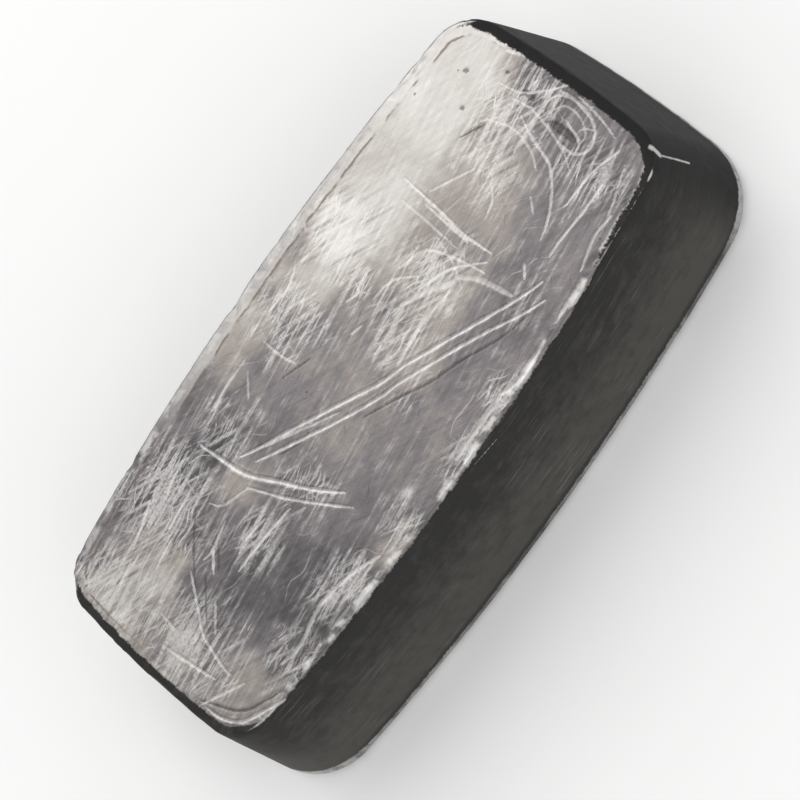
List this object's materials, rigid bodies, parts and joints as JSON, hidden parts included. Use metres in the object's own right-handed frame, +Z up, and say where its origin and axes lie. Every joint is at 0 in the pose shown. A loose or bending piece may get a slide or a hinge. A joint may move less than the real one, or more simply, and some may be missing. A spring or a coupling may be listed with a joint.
{
  "type": "tin ingot",
  "caption": "Hand-sized cast metal bar with drafted, bowed sides, rounded corners and a smaller flat upper face.",
  "frame": {"origin": "middle of the large lower face, on the surface the bar lies on", "axes": "+X along the bar, +Y across it, +Z up from the large lower face to the smaller upper face"},
  "size_m": [0.15, 0.072, 0.036],
  "materials": {
    "tin": "worn cast tin: bare scratched metal on top, dark cast skin on the sides"
  },
  "bodies": {
    "root": {"ingot": "tin"}
  },
  "joints": []
}
